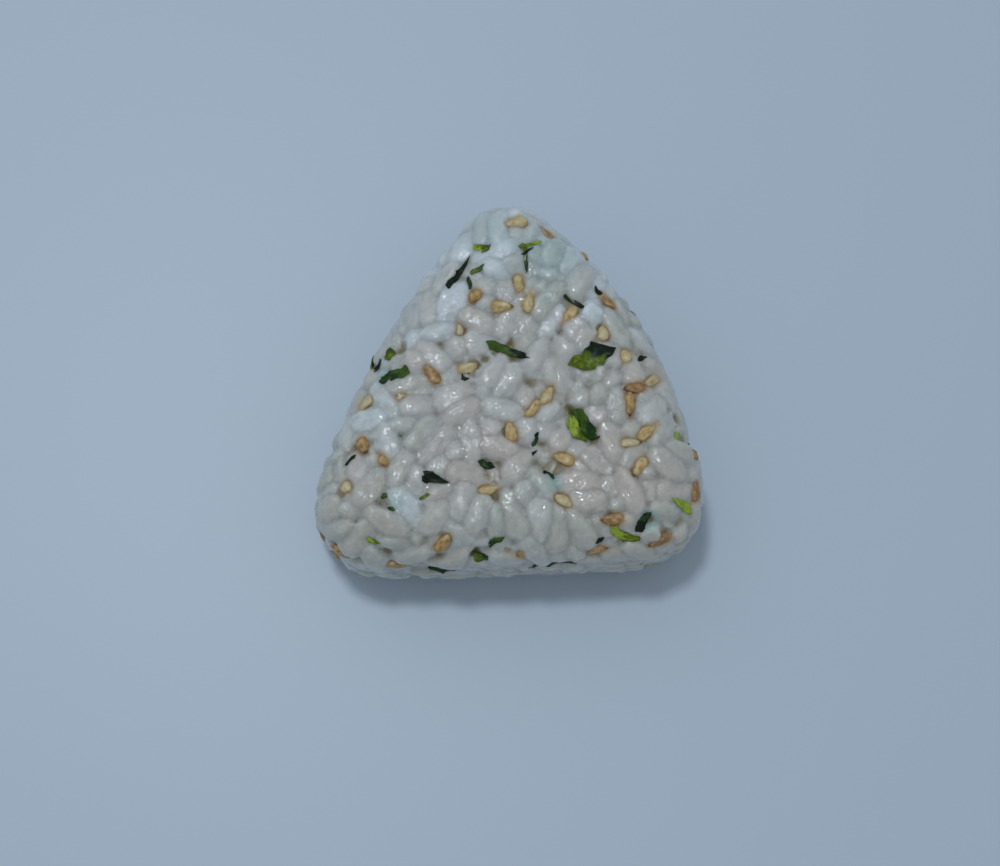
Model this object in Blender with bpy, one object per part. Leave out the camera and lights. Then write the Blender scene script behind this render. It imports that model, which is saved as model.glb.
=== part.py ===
"""A pressed triangular rice ball with toasted sesame and chopped greens, lying on one of its broad faces.

The rice ball is one closed solid: a smooth core of packed rice, with the grains, seeds and leaf
flakes that show at its surface sunk into it and fused on. +Z is up through its thickness, +Y runs
from the base edge to the apex, and the origin is the middle of its footprint, at the level that it
rests on.
"""

import math
import random

import bmesh
import bpy
from mathutils import Matrix, Vector
from mathutils.bvhtree import BVHTree
from mathutils.kdtree import KDTree

MM = 0.001

# Driving dimensions of the whole rice ball
WIDTH = 65.0 * MM
HEIGHT = 63.0 * MM
THICKNESS = 27.0 * MM
EDGE_ROUNDING = 7.2 * MM

# The outline: a circle at each corner, and one long arc from corner to corner along each side
APEX_RADIUS = 9.2 * MM
LEFT_RADIUS = 10.4 * MM
RIGHT_RADIUS = 11.2 * MM
APEX_SHIFT = -0.3 * MM
RIGHT_CORNER_LIFT = 1.3 * MM
RIGHT_SIDE_BOW = 72.0 * MM
LEFT_SIDE_BOW = 130.0 * MM
BASE_BOW = 420.0 * MM
CORNER_STEP = math.radians(20)
SIDE_STEPS = 6
WELD = 0.01 * MM

# One cooked short grain: its size, and how far grains differ
GRAIN_LENGTH = 7.4 * MM
GRAIN_WIDTH = 3.5 * MM
GRAIN_DEPTH = 2.9 * MM
GRAIN_SPREAD = 0.13
ROD_SIDES = 6
ROD_RINGS = 3

# How the grains lie in the surface: each is about half sunk, and stands RELIEF above the core
GRAIN_COUNT = 410
RELIEF = 1.5 * MM
UNEVENNESS = 0.3 * MM
TILT = math.radians(12)

# How points are spread evenly: the least spacing between them starts wide and eases until all fit
WIDEST_SPACING = 20.0 * MM
SPACING_EASE = 0.95
TRIES_A_SPACING = 3000

# How the grains find room: pushed apart by a share of their overlap, and pressed a little together
SETTLE_ROUNDS = 40
SETTLE_SHARE = 0.35
PRESSED = 0.88
PARALLEL = 1e-12

# One sesame seed, tapered to a point, and how high its middle lies above the core
SEED_COUNT = 64
SEED_LENGTH = 3.7 * MM
SEED_WIDTH = 2.2 * MM
SEED_DEPTH = 1.4 * MM
SEED_TAPER = 0.7
SEED_LIFT = 1.25 * MM

# One flake of chopped leaf: a thin wavy sheet with a ragged outline
LEAF_COUNT = 30
LEAF_LENGTHS = (2.6 * MM, 5.4 * MM)
LEAF_WIDTHS = (1.4 * MM, 2.6 * MM)
LEAF_THICKNESS = 0.6 * MM
LEAF_LIFT = 1.5 * MM
LEAF_STEPS = (4, 2)
LEAF_NARROWING = 0.8
LEAF_RAGGED = 0.25
LEAF_WAVE = 0.3 * MM

# The largest leaf flakes, which lie on the upper face: how far right of its middle and above it,
# their turn in degrees from +X, and their length and width, all in millimetres
LARGE_LEAVES = (
    (-9.0, 17.5, 60, 6.2, 1.6),
    (3.5, 21.5, 40, 5.0, 1.6),
    (-0.5, 4.0, -17, 6.9, 2.1),
    (13.5, 3.0, 36, 7.0, 3.8),
    (-19.5, 0.0, 10, 5.7, 2.0),
    (11.5, -8.5, -55, 6.6, 3.0),
    (-12.5, -17.5, -10, 3.9, 2.4),
    (19.5, -25.5, 70, 4.5, 1.8),
    (27.0, -21.0, -20, 4.1, 2.4),
)

# The fused solid is reduced to this many triangles before its underside is cut level
TRIANGLES = 10600

# The underside is pressed flat: the rice ball is lowered by this much and cut level at z = 0
FLATTENED = 0.6 * MM

RANDOM_SEED = 7


def clear_scene():
    """Removes whatever the file holds."""
    for obj in list(bpy.data.objects):
        bpy.data.objects.remove(obj)


def make_material(name, colour, roughness):
    """A Principled finish of one colour."""
    material = bpy.data.materials.new(name)
    material.use_nodes = True
    shader = material.node_tree.nodes["Principled BSDF"]
    shader.inputs["Base Color"].default_value = (*colour, 1.0)
    shader.inputs["Roughness"].default_value = roughness
    shader.inputs["Metallic"].default_value = 0.0
    return material


def angle_of(direction):
    """The direction's angle from +X, anticlockwise."""
    return math.atan2(direction.y, direction.x)


def arc(centre, radius, start, end, steps):
    """Points along an anticlockwise arc, without its last one."""
    turn = (end - start) % math.tau
    angles = [start + turn * step / steps for step in range(steps)]
    return [centre + radius * Vector((math.cos(a), math.sin(a))) for a in angles]


def bow_centre(first, second, radius):
    """The centre of the circle of this radius that both corner circles touch from inside."""
    (centre_a, radius_a), (centre_b, radius_b) = first, second
    reach_a, reach_b = radius - radius_a, radius - radius_b
    run = centre_b - centre_a
    span = run.length
    along = (reach_a**2 - reach_b**2 + span**2) / (2 * span)
    across = math.sqrt(reach_a**2 - along**2)
    outward = Vector((run.y, -run.x)) / span
    return centre_a + run / span * along - outward * across


def outline(inset):
    """The triangle's outline moved inwards by inset, anticlockwise, as corner arcs and side arcs."""
    low = -HEIGHT / 2
    right_place = Vector((WIDTH / 2 - RIGHT_RADIUS, low + RIGHT_RADIUS + RIGHT_CORNER_LIFT))
    apex_place = Vector((APEX_SHIFT, HEIGHT / 2 - APEX_RADIUS))
    left_place = Vector((LEFT_RADIUS - WIDTH / 2, low + LEFT_RADIUS))
    corners = [(right_place, RIGHT_RADIUS), (apex_place, APEX_RADIUS), (left_place, LEFT_RADIUS)]
    bows = [RIGHT_SIDE_BOW, LEFT_SIDE_BOW, BASE_BOW]
    centres = [bow_centre(corners[i], corners[(i + 1) % 3], bows[i]) for i in range(3)]
    points = []
    for i, (corner, radius) in enumerate(corners):
        after = corners[(i + 1) % 3][0]
        arrives = angle_of(corner - centres[i - 1])
        leaves = angle_of(corner - centres[i])
        ends = angle_of(after - centres[i])
        corner_steps = max(2, round((leaves - arrives) % math.tau / CORNER_STEP))
        points += arc(corner, radius - inset, arrives, leaves, corner_steps)
        points += arc(centres[i], bows[i] - inset, leaves, ends, SIDE_STEPS)
    return points


def evaluated_mesh(obj):
    """The object's mesh with its modifiers applied, or a curve's surface."""
    bpy.context.view_layer.update()
    graph = bpy.context.evaluated_depsgraph_get()
    return bpy.data.meshes.new_from_object(obj.evaluated_get(graph))


def apply_modifiers(obj):
    """Makes the object's evaluated mesh its own."""
    mesh = evaluated_mesh(obj)
    obj.modifiers.clear()
    obj.data = mesh


def make_core(collection):
    """The packed rice under the grains: the outline, thickened, with its edges rounded."""
    curve = bpy.data.curves.new("core outline", "CURVE")
    curve.dimensions = "2D"
    curve.fill_mode = "BOTH"
    points = outline(RELIEF + EDGE_ROUNDING)
    spline = curve.splines.new("POLY")
    spline.points.add(len(points) - 1)
    for place, point in zip(spline.points, points):
        place.co = (point.x, point.y, 0.0, 1.0)
    spline.use_cyclic_u = True
    curve.bevel_depth = EDGE_ROUNDING
    curve.bevel_resolution = 1
    curve.extrude = THICKNESS / 2 - RELIEF - EDGE_ROUNDING
    guide = bpy.data.objects.new("core guide", curve)
    collection.objects.link(guide)
    mesh = evaluated_mesh(guide)
    mesh.transform(Matrix.Translation((0.0, 0.0, THICKNESS / 2)))
    bpy.data.objects.remove(guide)
    model = bmesh.new()
    model.from_mesh(mesh)
    bmesh.ops.remove_doubles(model, verts=model.verts, dist=WELD)
    model.to_mesh(mesh)
    model.free()
    core = bpy.data.objects.new("rice_ball", mesh)
    collection.objects.link(core)
    return core


def even_points(mesh, count, draw):
    """That many points spread evenly over a mesh."""
    mesh.calc_loop_triangles()
    triangles = [[mesh.vertices[i].co for i in t.vertices] for t in mesh.loop_triangles]
    areas = [t.area for t in mesh.loop_triangles]
    points = []
    spacing = WIDEST_SPACING
    while len(points) < count:
        for corner_a, corner_b, corner_c in draw.choices(triangles, areas, k=TRIES_A_SPACING):
            u, v = sorted((draw.random(), draw.random()))
            point = corner_a * u + corner_b * (v - u) + corner_c * (1 - v)
            if len(points) < count and all((point - other).length > spacing for other in points):
                points.append(point)
        spacing *= SPACING_EASE
    return points


class Piece:
    """A grain, seed or flake: it lies along the surface of the core about a straight axis."""

    def __init__(self, point, length, width, lift, surface, draw):
        self.length = length
        self.width = width
        self.reach = (length - width) / 2
        self.lift = lift + draw.uniform(-UNEVENNESS, UNEVENNESS)
        self.tilt = draw.uniform(-TILT, TILT)
        self.centre, self.normal = surface.find_nearest(point)[:2]
        turn = Matrix.Rotation(draw.uniform(0, math.tau), 3, self.normal)
        self.axis = turn @ self.normal.orthogonal().normalized()

    def ends(self):
        """The two ends of the straight part of the axis."""
        return self.centre - self.axis * self.reach, self.centre + self.axis * self.reach

    def lie_along(self, direction):
        """Turns the axis to a direction, as far as the surface lets it."""
        self.axis = (direction - self.normal * self.normal.dot(direction)).normalized()

    def hold(self, surface):
        """Puts the piece back on the surface, lying along it."""
        self.centre, self.normal = surface.find_nearest(self.centre)[:2]
        self.lie_along(self.axis)

    def matrix(self):
        """Where the piece's shape goes, with its length along X and its depth along Z."""
        axis = Matrix.Rotation(self.tilt, 3, self.normal.cross(self.axis)) @ self.axis
        side = self.normal.cross(axis).normalized()
        place = Matrix((axis, side, axis.cross(side))).transposed().to_4x4()
        place.translation = self.centre + self.normal * self.lift
        return place


def nearest_on_rods(first, second):
    """The closest points of two pieces' axes, each as (point, share of the way from the middle)."""
    start_a, end_a = first.ends()
    start_b, end_b = second.ends()
    run_a, run_b, gap = end_a - start_a, end_b - start_b, start_a - start_b
    aa, bb, ab = run_a.dot(run_a), run_b.dot(run_b), run_a.dot(run_b)
    ag, bg = run_a.dot(gap), run_b.dot(gap)
    spread = aa * bb - ab * ab
    share_a = min(1, max(0, (ab * bg - bb * ag) / spread)) if spread > PARALLEL * aa * bb else 0.5
    share_b = min(1, max(0, (ab * share_a + bg) / bb))
    share_a = min(1, max(0, (ab * share_b - ag) / aa))
    return (start_a + run_a * share_a, share_a * 2 - 1), (start_b + run_b * share_b, share_b * 2 - 1)


def push_apart(first, second):
    """Moves and turns two grains away from each other where they overlap."""
    (point_a, share_a), (point_b, share_b) = nearest_on_rods(first, second)
    gap = point_b - point_a
    wanted = (first.width + second.width) / 2 * PRESSED
    if not 0 < gap.length < wanted:
        return
    push = gap.normalized() * (wanted - gap.length) * SETTLE_SHARE
    first.centre = first.centre - push
    second.centre = second.centre + push
    first.axis = (first.axis - push * share_a / first.reach).normalized()
    second.axis = (second.axis + push * share_b / second.reach).normalized()


def settle(grains, surface):
    """Pushes the grains apart, round after round, until they lie side by side."""
    for _ in range(SETTLE_ROUNDS):
        tree = KDTree(len(grains))
        for i, grain in enumerate(grains):
            tree.insert(grain.centre, i)
        tree.balance()
        for i, grain in enumerate(grains):
            for _, j, _ in tree.find_range(grain.centre, GRAIN_LENGTH * (1 + GRAIN_SPREAD)):
                if j > i:
                    push_apart(grain, grains[j])
        for grain in grains:
            grain.hold(surface)


def lay_grains(core, surface, draw):
    """The grains that show, settled, with one lying level at the middle of the underside."""
    grains = []
    for point in even_points(core.data, GRAIN_COUNT, draw):
        length = GRAIN_LENGTH * draw.uniform(1 - GRAIN_SPREAD, 1 + GRAIN_SPREAD)
        width = GRAIN_WIDTH * draw.uniform(1 - GRAIN_SPREAD, 1 + GRAIN_SPREAD)
        grains.append(Piece(point, length, width, 0.0, surface, draw))
    settle(grains, surface)
    underside = Vector((0.0, 0.0, RELIEF))
    level = min(grains, key=lambda grain: (grain.centre - underside).length)
    level.centre = underside
    level.tilt = 0.0
    level.lift = 0.0
    return grains


def rod_mesh(name, taper, material):
    """A barrel one unit long, wide and deep, with pointed ends, narrowing towards +X by the taper."""
    mesh = bpy.data.meshes.new(name)
    mesh.materials.append(material)
    model = bmesh.new()
    bmesh.ops.create_uvsphere(model, u_segments=ROD_SIDES, v_segments=ROD_RINGS, radius=0.5)
    bmesh.ops.transform(model, verts=model.verts, matrix=Matrix.Rotation(math.pi / 2, 4, "Y"))
    for vertex in model.verts:
        vertex.co.yz *= 1 - taper * vertex.co.x
    bmesh.ops.triangulate(model, faces=model.faces)
    model.to_mesh(mesh)
    model.free()
    return mesh


def leaf_mesh(length, width, material, draw):
    """A flake of leaf: a wavy sheet, narrower and ragged towards its ends, given its thickness."""
    mesh = bpy.data.meshes.new("leaf flake")
    mesh.materials.append(material)
    model = bmesh.new()
    along_steps, across_steps = LEAF_STEPS
    bmesh.ops.create_grid(model, x_segments=along_steps, y_segments=across_steps, size=0.5)
    bmesh.ops.triangulate(model, faces=model.faces)
    phase = draw.uniform(0, math.tau)
    for vertex in model.verts:
        along, across, _ = vertex.co
        narrowing = math.sqrt(1 - (2 * along) ** 2 * LEAF_NARROWING) * draw.uniform(1 - LEAF_RAGGED, 1)
        vertex.co.x = length * along * draw.uniform(1 - LEAF_RAGGED, 1)
        vertex.co.y = width * across * narrowing
        vertex.co.z = LEAF_WAVE * math.sin(phase + math.tau * along)
    bmesh.ops.solidify(model, geom=model.faces[:], thickness=LEAF_THICKNESS)
    bmesh.ops.recalc_face_normals(model, faces=model.faces)
    model.to_mesh(mesh)
    model.free()
    return mesh


def add_piece(mesh, matrix, pieces):
    """A shape at its place, for the Boolean union."""
    piece = bpy.data.objects.new("piece", mesh)
    piece.matrix_world = matrix
    pieces.objects.link(piece)


def add_grains(grains, material, pieces):
    """The grains' shapes."""
    shape = rod_mesh("grain", 0.0, material)
    for grain in grains:
        size = Matrix.Diagonal((grain.length, grain.width, GRAIN_DEPTH, 1.0))
        add_piece(shape, grain.matrix() @ size, pieces)


def add_seeds(core, surface, material, pieces, draw):
    """The seeds' shapes, spread evenly over the whole surface."""
    shape = rod_mesh("sesame seed", SEED_TAPER, material)
    size = Matrix.Diagonal((SEED_LENGTH, SEED_WIDTH, SEED_DEPTH, 1.0))
    for point in even_points(core.data, SEED_COUNT, draw):
        seed = Piece(point, SEED_LENGTH, SEED_WIDTH, SEED_LIFT, surface, draw)
        add_piece(shape, seed.matrix() @ size, pieces)


def add_leaves(core, surface, material, pieces, draw):
    """The leaf flakes' shapes: small ones over the whole surface, and the largest in their places."""
    for point in even_points(core.data, LEAF_COUNT, draw):
        length, width = draw.uniform(*LEAF_LENGTHS), draw.uniform(*LEAF_WIDTHS)
        leaf = Piece(point, length, width, LEAF_LIFT, surface, draw)
        add_piece(leaf_mesh(length, width, material, draw), leaf.matrix(), pieces)
    for right, up, turn, length, width in LARGE_LEAVES:
        point = Vector((right * MM, up * MM, THICKNESS))
        leaf = Piece(point, length * MM, width * MM, LEAF_LIFT, surface, draw)
        angle = math.radians(turn)
        leaf.lie_along(Vector((math.cos(angle), math.sin(angle), 0.0)))
        add_piece(leaf_mesh(length * MM, width * MM, material, draw), leaf.matrix(), pieces)


def fuse(core, pieces):
    """Joins the pieces to the core by one Boolean union, applies it and removes them."""
    union = core.modifiers.new("pieces", "BOOLEAN")
    union.operation = "UNION"
    union.operand_type = "COLLECTION"
    union.collection = pieces
    union.solver = "MANIFOLD"
    union.material_mode = "TRANSFER"
    apply_modifiers(core)
    for piece in list(pieces.objects):
        bpy.data.objects.remove(piece)
    bpy.data.collections.remove(pieces)


def reduce_triangles(obj, count):
    """Merges the facets that add least, until about that many triangles are left."""
    obj.data.calc_loop_triangles()
    reduction = obj.modifiers.new("fewer facets", "DECIMATE")
    reduction.ratio = count / len(obj.data.loop_triangles)
    reduction.use_collapse_triangulate = True
    apply_modifiers(obj)


def press_flat(obj, collection):
    """Lowers the rice ball a little and cuts it level at z = 0."""
    obj.data.transform(Matrix.Translation((0.0, 0.0, -FLATTENED)))
    mesh = bpy.data.meshes.new("below the underside")
    model = bmesh.new()
    bmesh.ops.create_cube(model, size=2 * WIDTH, matrix=Matrix.Translation((0.0, 0.0, -WIDTH)))
    model.to_mesh(mesh)
    model.free()
    cutter = bpy.data.objects.new("below the underside", mesh)
    cutter.hide_render = True
    cutter.display_type = "WIRE"
    collection.objects.link(cutter)
    cut = obj.modifiers.new("level underside", "BOOLEAN")
    cut.operation = "DIFFERENCE"
    cut.object = cutter
    cut.solver = "MANIFOLD"
    apply_modifiers(obj)
    bpy.data.objects.remove(cutter)


def shell_of(vertex, left):
    """The vertices joined to this one by edges, taken out of those that are left."""
    shell = set()
    found = [vertex]
    while found:
        vertex = found.pop()
        shell.add(vertex)
        for edge in vertex.link_edges:
            other = edge.other_vert(vertex)
            if other in left:
                left.remove(other)
                found.append(other)
    return shell


def keep_largest_shell(mesh):
    """Drops loose scraps, and the inner shells of sealed hollows, which fills them."""
    model = bmesh.new()
    model.from_mesh(mesh)
    left = set(model.verts)
    shells = []
    while left:
        shells.append(shell_of(left.pop(), left))
    largest = max(shells, key=len)
    scraps = [vertex for vertex in model.verts if vertex not in largest]
    bmesh.ops.delete(model, geom=scraps, context="VERTS")
    model.to_mesh(mesh)
    model.free()


def centre_on_origin(mesh):
    """Puts the middle of the footprint at the origin."""
    wide = [vertex.co.x for vertex in mesh.vertices]
    high = [vertex.co.y for vertex in mesh.vertices]
    middle = Vector((min(wide) + max(wide), min(high) + max(high), 0.0)) / 2
    mesh.transform(Matrix.Translation(-middle))


def main():
    """Builds the rice ball."""
    clear_scene()
    draw = random.Random(RANDOM_SEED)
    rice = make_material("cooked rice", (0.56, 0.57, 0.53), 0.35)
    sesame = make_material("toasted sesame", (0.40, 0.28, 0.12), 0.45)
    greens = make_material("chopped greens", (0.05, 0.09, 0.02), 0.40)
    collection = bpy.data.collections.new("rice ball")
    bpy.context.scene.collection.children.link(collection)
    rice_ball = make_core(collection)
    for material in (rice, sesame, greens):
        rice_ball.data.materials.append(material)
    vertices = [vertex.co for vertex in rice_ball.data.vertices]
    surface = BVHTree.FromPolygons(vertices, [face.vertices for face in rice_ball.data.polygons])
    pieces = bpy.data.collections.new("pieces")
    bpy.context.scene.collection.children.link(pieces)
    add_grains(lay_grains(rice_ball, surface, draw), rice, pieces)
    add_seeds(rice_ball, surface, sesame, pieces, draw)
    add_leaves(rice_ball, surface, greens, pieces, draw)
    fuse(rice_ball, pieces)
    reduce_triangles(rice_ball, TRIANGLES)
    press_flat(rice_ball, collection)
    keep_largest_shell(rice_ball.data)
    centre_on_origin(rice_ball.data)


main()
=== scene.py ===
"""The looks of a pressed rice ball: cooked short grains with toasted sesame and chopped leaf.

It is put together as the real one is. Short grains are packed against a triangular mould, seeds and
bits of leaf are caught between them, and a starchy film holds everything. Lengths are in metres,
+Z is up and +Y runs from the base edge to the apex.
"""

import logging
import math
from dataclasses import dataclass, field, fields
from enum import Enum

import bmesh
import bpy
import numpy as np
from mathutils import Matrix, Vector, noise
from mathutils.bvhtree import BVHTree


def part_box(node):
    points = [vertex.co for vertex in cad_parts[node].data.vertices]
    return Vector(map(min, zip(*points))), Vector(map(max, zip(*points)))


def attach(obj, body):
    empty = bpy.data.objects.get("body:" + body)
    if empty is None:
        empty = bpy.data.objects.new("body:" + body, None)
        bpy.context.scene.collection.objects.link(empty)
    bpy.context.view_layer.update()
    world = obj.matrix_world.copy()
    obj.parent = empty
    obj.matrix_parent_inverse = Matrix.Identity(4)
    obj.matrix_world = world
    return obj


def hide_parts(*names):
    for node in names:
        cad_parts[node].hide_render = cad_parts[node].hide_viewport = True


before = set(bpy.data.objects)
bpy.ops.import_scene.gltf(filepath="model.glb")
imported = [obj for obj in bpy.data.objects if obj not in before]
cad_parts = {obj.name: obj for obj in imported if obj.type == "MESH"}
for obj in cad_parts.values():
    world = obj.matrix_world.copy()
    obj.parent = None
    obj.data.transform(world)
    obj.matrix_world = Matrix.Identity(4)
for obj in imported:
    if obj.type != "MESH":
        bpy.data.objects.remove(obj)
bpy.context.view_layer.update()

MM = 0.001
NODE = "rice_ball"
BODY = "root"
TINY = 1e-9
FLOOR_GAP = 0.02 * MM

# How far the mould's wall lies inside the plain solid's box, where grains stand out of it
WIDTH_MARGIN = 0.4 * MM
HEIGHT_MARGIN = 1.7 * MM
TOP_MARGIN = 0.5 * MM
# The mould goes on below the floor, so that the underside is pressed level
BELOW_FLOOR = 0.6 * MM

log = logging.getLogger("rice ball")

Array = np.ndarray
Node = bpy.types.Node
Socket = bpy.types.NodeSocket


def linear(hex_code: str) -> tuple[float, float, float, float]:
    """Turns an sRGB hex colour into a linear one.

    Args:
        hex_code: The colour as "#rrggbb".

    Returns:
        Linear red, green, blue and an alpha of one.
    """
    channels = [int(hex_code[i : i + 2], 16) / 255 for i in (1, 3, 5)]
    red, green, blue = [c / 12.92 if c <= 0.04045 else ((c + 0.055) / 1.055) ** 2.4 for c in channels]
    return red, green, blue, 1.0


def add_node(
    material: bpy.types.Material,
    kind: str,
    settings: dict[str | int, object] | None = None,
    links: dict[str | int, Socket] | None = None,
    stops: list[tuple[float, str]] | None = None,
) -> Node:
    """Adds one shader node with its settings and links.

    Args:
        material: The material whose node tree takes the node.
        kind: The node's type.
        settings: Values by input name or number, or by the node's own property.
        links: Sockets to link from, by input name or number.
        stops: A colour ramp's places and hex colours.

    Returns:
        The new node.
    """
    node = material.node_tree.nodes.new(kind)
    for name, value in (settings or {}).items():
        if isinstance(name, int) or name in node.inputs:
            node.inputs[name].default_value = value
        else:
            setattr(node, name, value)
    for name, socket in (links or {}).items():
        material.node_tree.links.new(socket, node.inputs[name])
    if stops:
        elements = node.color_ramp.elements
        while len(elements) < len(stops):
            elements.new(1.0)
        for element, (place, colour) in zip(elements, stops):
            element.position = place
            element.color = linear(colour)
    return node


def new_finish(name: str, inputs: dict[str, object]) -> tuple[bpy.types.Material, Node]:
    """Starts a finish.

    Args:
        name: The real material's name.
        inputs: Values of its surface shader's inputs, by name.

    Returns:
        The material and its surface shader.
    """
    material = bpy.data.materials.new(name)
    material.use_nodes = True
    shader = material.node_tree.nodes["Principled BSDF"]
    for label, value in inputs.items():
        shader.inputs[label].default_value = value
    return material, shader


def read_values(material: bpy.types.Material, names: tuple[str, ...]) -> dict[str, Socket]:
    """Reads the numbers that a mesh holds at its vertices, by name."""
    return {
        name: add_node(material, "ShaderNodeAttribute", {"attribute_name": name}).outputs["Fac"]
        for name in names
    }


def varied(
    material: bpy.types.Material, value: Socket, texture: Node, contrast: float, clamp: bool = False
) -> Socket:
    """Lets a texture move a value up and down.

    Args:
        material: The material.
        value: The value.
        texture: The noise that moves it.
        contrast: How far it moves over the noise's whole range.
        clamp: Whether the result stays between 0 and 1.

    Returns:
        The varied value.
    """
    swing = add_node(
        material,
        "ShaderNodeMath",
        {"operation": "MULTIPLY_ADD", 1: contrast, 2: -contrast / 2},
        {0: texture.outputs["Fac"]},
    )
    links = {0: value, 1: swing.outputs[0]}
    return add_node(material, "ShaderNodeMath", {"operation": "ADD", "use_clamp": clamp}, links).outputs[0]


def layered(material: bpy.types.Material, colour: Socket, layers: list[tuple[Socket, str]]) -> Socket:
    """Lays tints over a colour, one after another.

    Args:
        material: The material.
        colour: The colour underneath.
        layers: How far each tint covers what is below it, and the tint.

    Returns:
        The colour on top.
    """
    for share, tint in layers:
        settings = {"data_type": "RGBA", 7: linear(tint)}
        colour = add_node(material, "ShaderNodeMix", settings, {0: share, 6: colour}).outputs[2]
    return colour


def dent(
    material: bpy.types.Material,
    shader: Node,
    texture: Node,
    depth: float,
    skins: tuple[str, ...] = ("Normal",),
) -> None:
    """Dents a surface by a texture.

    Args:
        material: The material.
        shader: Its surface shader.
        texture: The noise that dents it.
        depth: How deep the dents are.
        skins: The shader's inputs that take the dents.
    """
    settings = {"Strength": 1.0, "Distance": depth}
    bump = add_node(material, "ShaderNodeBump", settings, {"Height": texture.outputs["Fac"]})
    for label in skins:
        material.node_tree.links.new(bump.outputs["Normal"], shader.inputs[label])


def unit(vectors: Array) -> Array:
    """Gives each row the length one."""
    return vectors / np.maximum(np.linalg.norm(vectors, axis=-1, keepdims=True), TINY)


def dot(first: Array, second: Array) -> Array:
    """The dot product of each pair of rows."""
    return np.sum(first * second, axis=-1)


def smooth_step(values: Array | float, low: float, high: float) -> Array:
    """Rises smoothly from 0 at low to 1 at high."""
    share = np.clip((values - low) / (high - low), 0, 1)
    return share * share * (3 - 2 * share)


def patches(points: Array, size: float, shift: float) -> Array:
    """Soft random patches over the points.

    Args:
        points: Places, one row each.
        size: The patches' size in metres.
        shift: Moves the pattern, so that two uses differ.

    Returns:
        A value from about -1 to 1 for each point.
    """
    return np.array([noise.noise(Vector(point) / size + Vector((shift, 0, 0))) for point in points])


def make_mesh(name: str, points: Array, faces: Array, values: dict[str, Array]) -> bpy.types.Mesh:
    """Makes a smooth mesh.

    Args:
        name: The mesh's name.
        points: Its vertices.
        faces: Its faces as vertex numbers.
        values: Numbers at its vertices for the finish to read, by name.

    Returns:
        The mesh.
    """
    mesh = bpy.data.meshes.new(name)
    mesh.from_pydata(points, [], faces)
    mesh.shade_smooth()
    for label, numbers in values.items():
        layer = mesh.attributes.new(label, "FLOAT", "POINT")
        layer.data.foreach_set("value", np.asarray(numbers, dtype=np.float32).ravel())
    return mesh


def unit_ball(subdivisions: int) -> tuple[Array, Array]:
    """A ball of radius one with even triangles.

    Args:
        subdivisions: 2 gives 80 triangles and 3 gives 320.

    Returns:
        Its vertices and its triangles.
    """
    model = bmesh.new()
    bmesh.ops.create_icosphere(model, subdivisions=subdivisions, radius=1.0)
    points = np.array([vertex.co for vertex in model.verts])
    faces = np.array([[vertex.index for vertex in face.verts] for face in model.faces])
    model.free()
    return points, faces


def joined(shaped: Array, triangles: Array) -> tuple[Array, Array]:
    """Joins many copies of one shape.

    Args:
        shaped: The vertices as copy by vertex.
        triangles: One copy's triangles.

    Returns:
        All the vertices and all the triangles.
    """
    offsets = np.arange(shaped.shape[0]) * shaped.shape[1]
    return shaped.reshape(-1, 3), (triangles[None] + offsets[:, None, None]).reshape(-1, 3)


def blended(values: Array, triangles: Array, rounds: int) -> Array:
    """Softens values over a mesh by averaging each with its neighbours.

    Args:
        values: One value for each vertex.
        triangles: The mesh's triangles.
        rounds: How many times; each takes the values one edge further.

    Returns:
        The softened values.
    """
    first, second = triangles.ravel(), np.roll(triangles, -1, axis=1).ravel()
    here, there = np.concatenate([first, second]), np.concatenate([second, first])
    neighbours = np.maximum(np.bincount(here, minlength=len(values)), 1)
    for _ in range(rounds):
        around = np.bincount(here, weights=values[there], minlength=len(values))
        values = (values + around / neighbours) / 2
    return values


def above_floor(points: Array) -> Array:
    """Keeps what lies on the underside level with it."""
    points[:, 2] = np.maximum(points[:, 2], FLOOR_GAP)
    return points


def surface(piece: bpy.types.Object) -> BVHTree:
    """A piece's surface, for finding what lies near it."""
    return BVHTree.FromObject(piece, bpy.context.evaluated_depsgraph_get())


def place_piece(name: str, mesh: bpy.types.Mesh, material: bpy.types.Material) -> bpy.types.Object:
    """Puts a finished piece on the rice ball's body, in place of its plain solid.

    Args:
        name: The piece's name.
        mesh: Its mesh, in the frame of the whole.
        material: Its finish.

    Returns:
        The piece.
    """
    mesh.materials.clear()
    mesh.materials.append(material)
    piece = bpy.data.objects.new(name, mesh)
    bpy.context.scene.collection.objects.link(piece)
    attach(piece, BODY)
    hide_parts(NODE)
    mesh.calc_loop_triangles()
    log.info("%s: %d triangles", name, len(mesh.loop_triangles))
    return piece


@dataclass(frozen=True)
class Arc:
    """One arc of the mould's outline, anticlockwise from its start about its centre."""

    centre: Array
    radius: float
    start: float
    sweep: float


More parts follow.
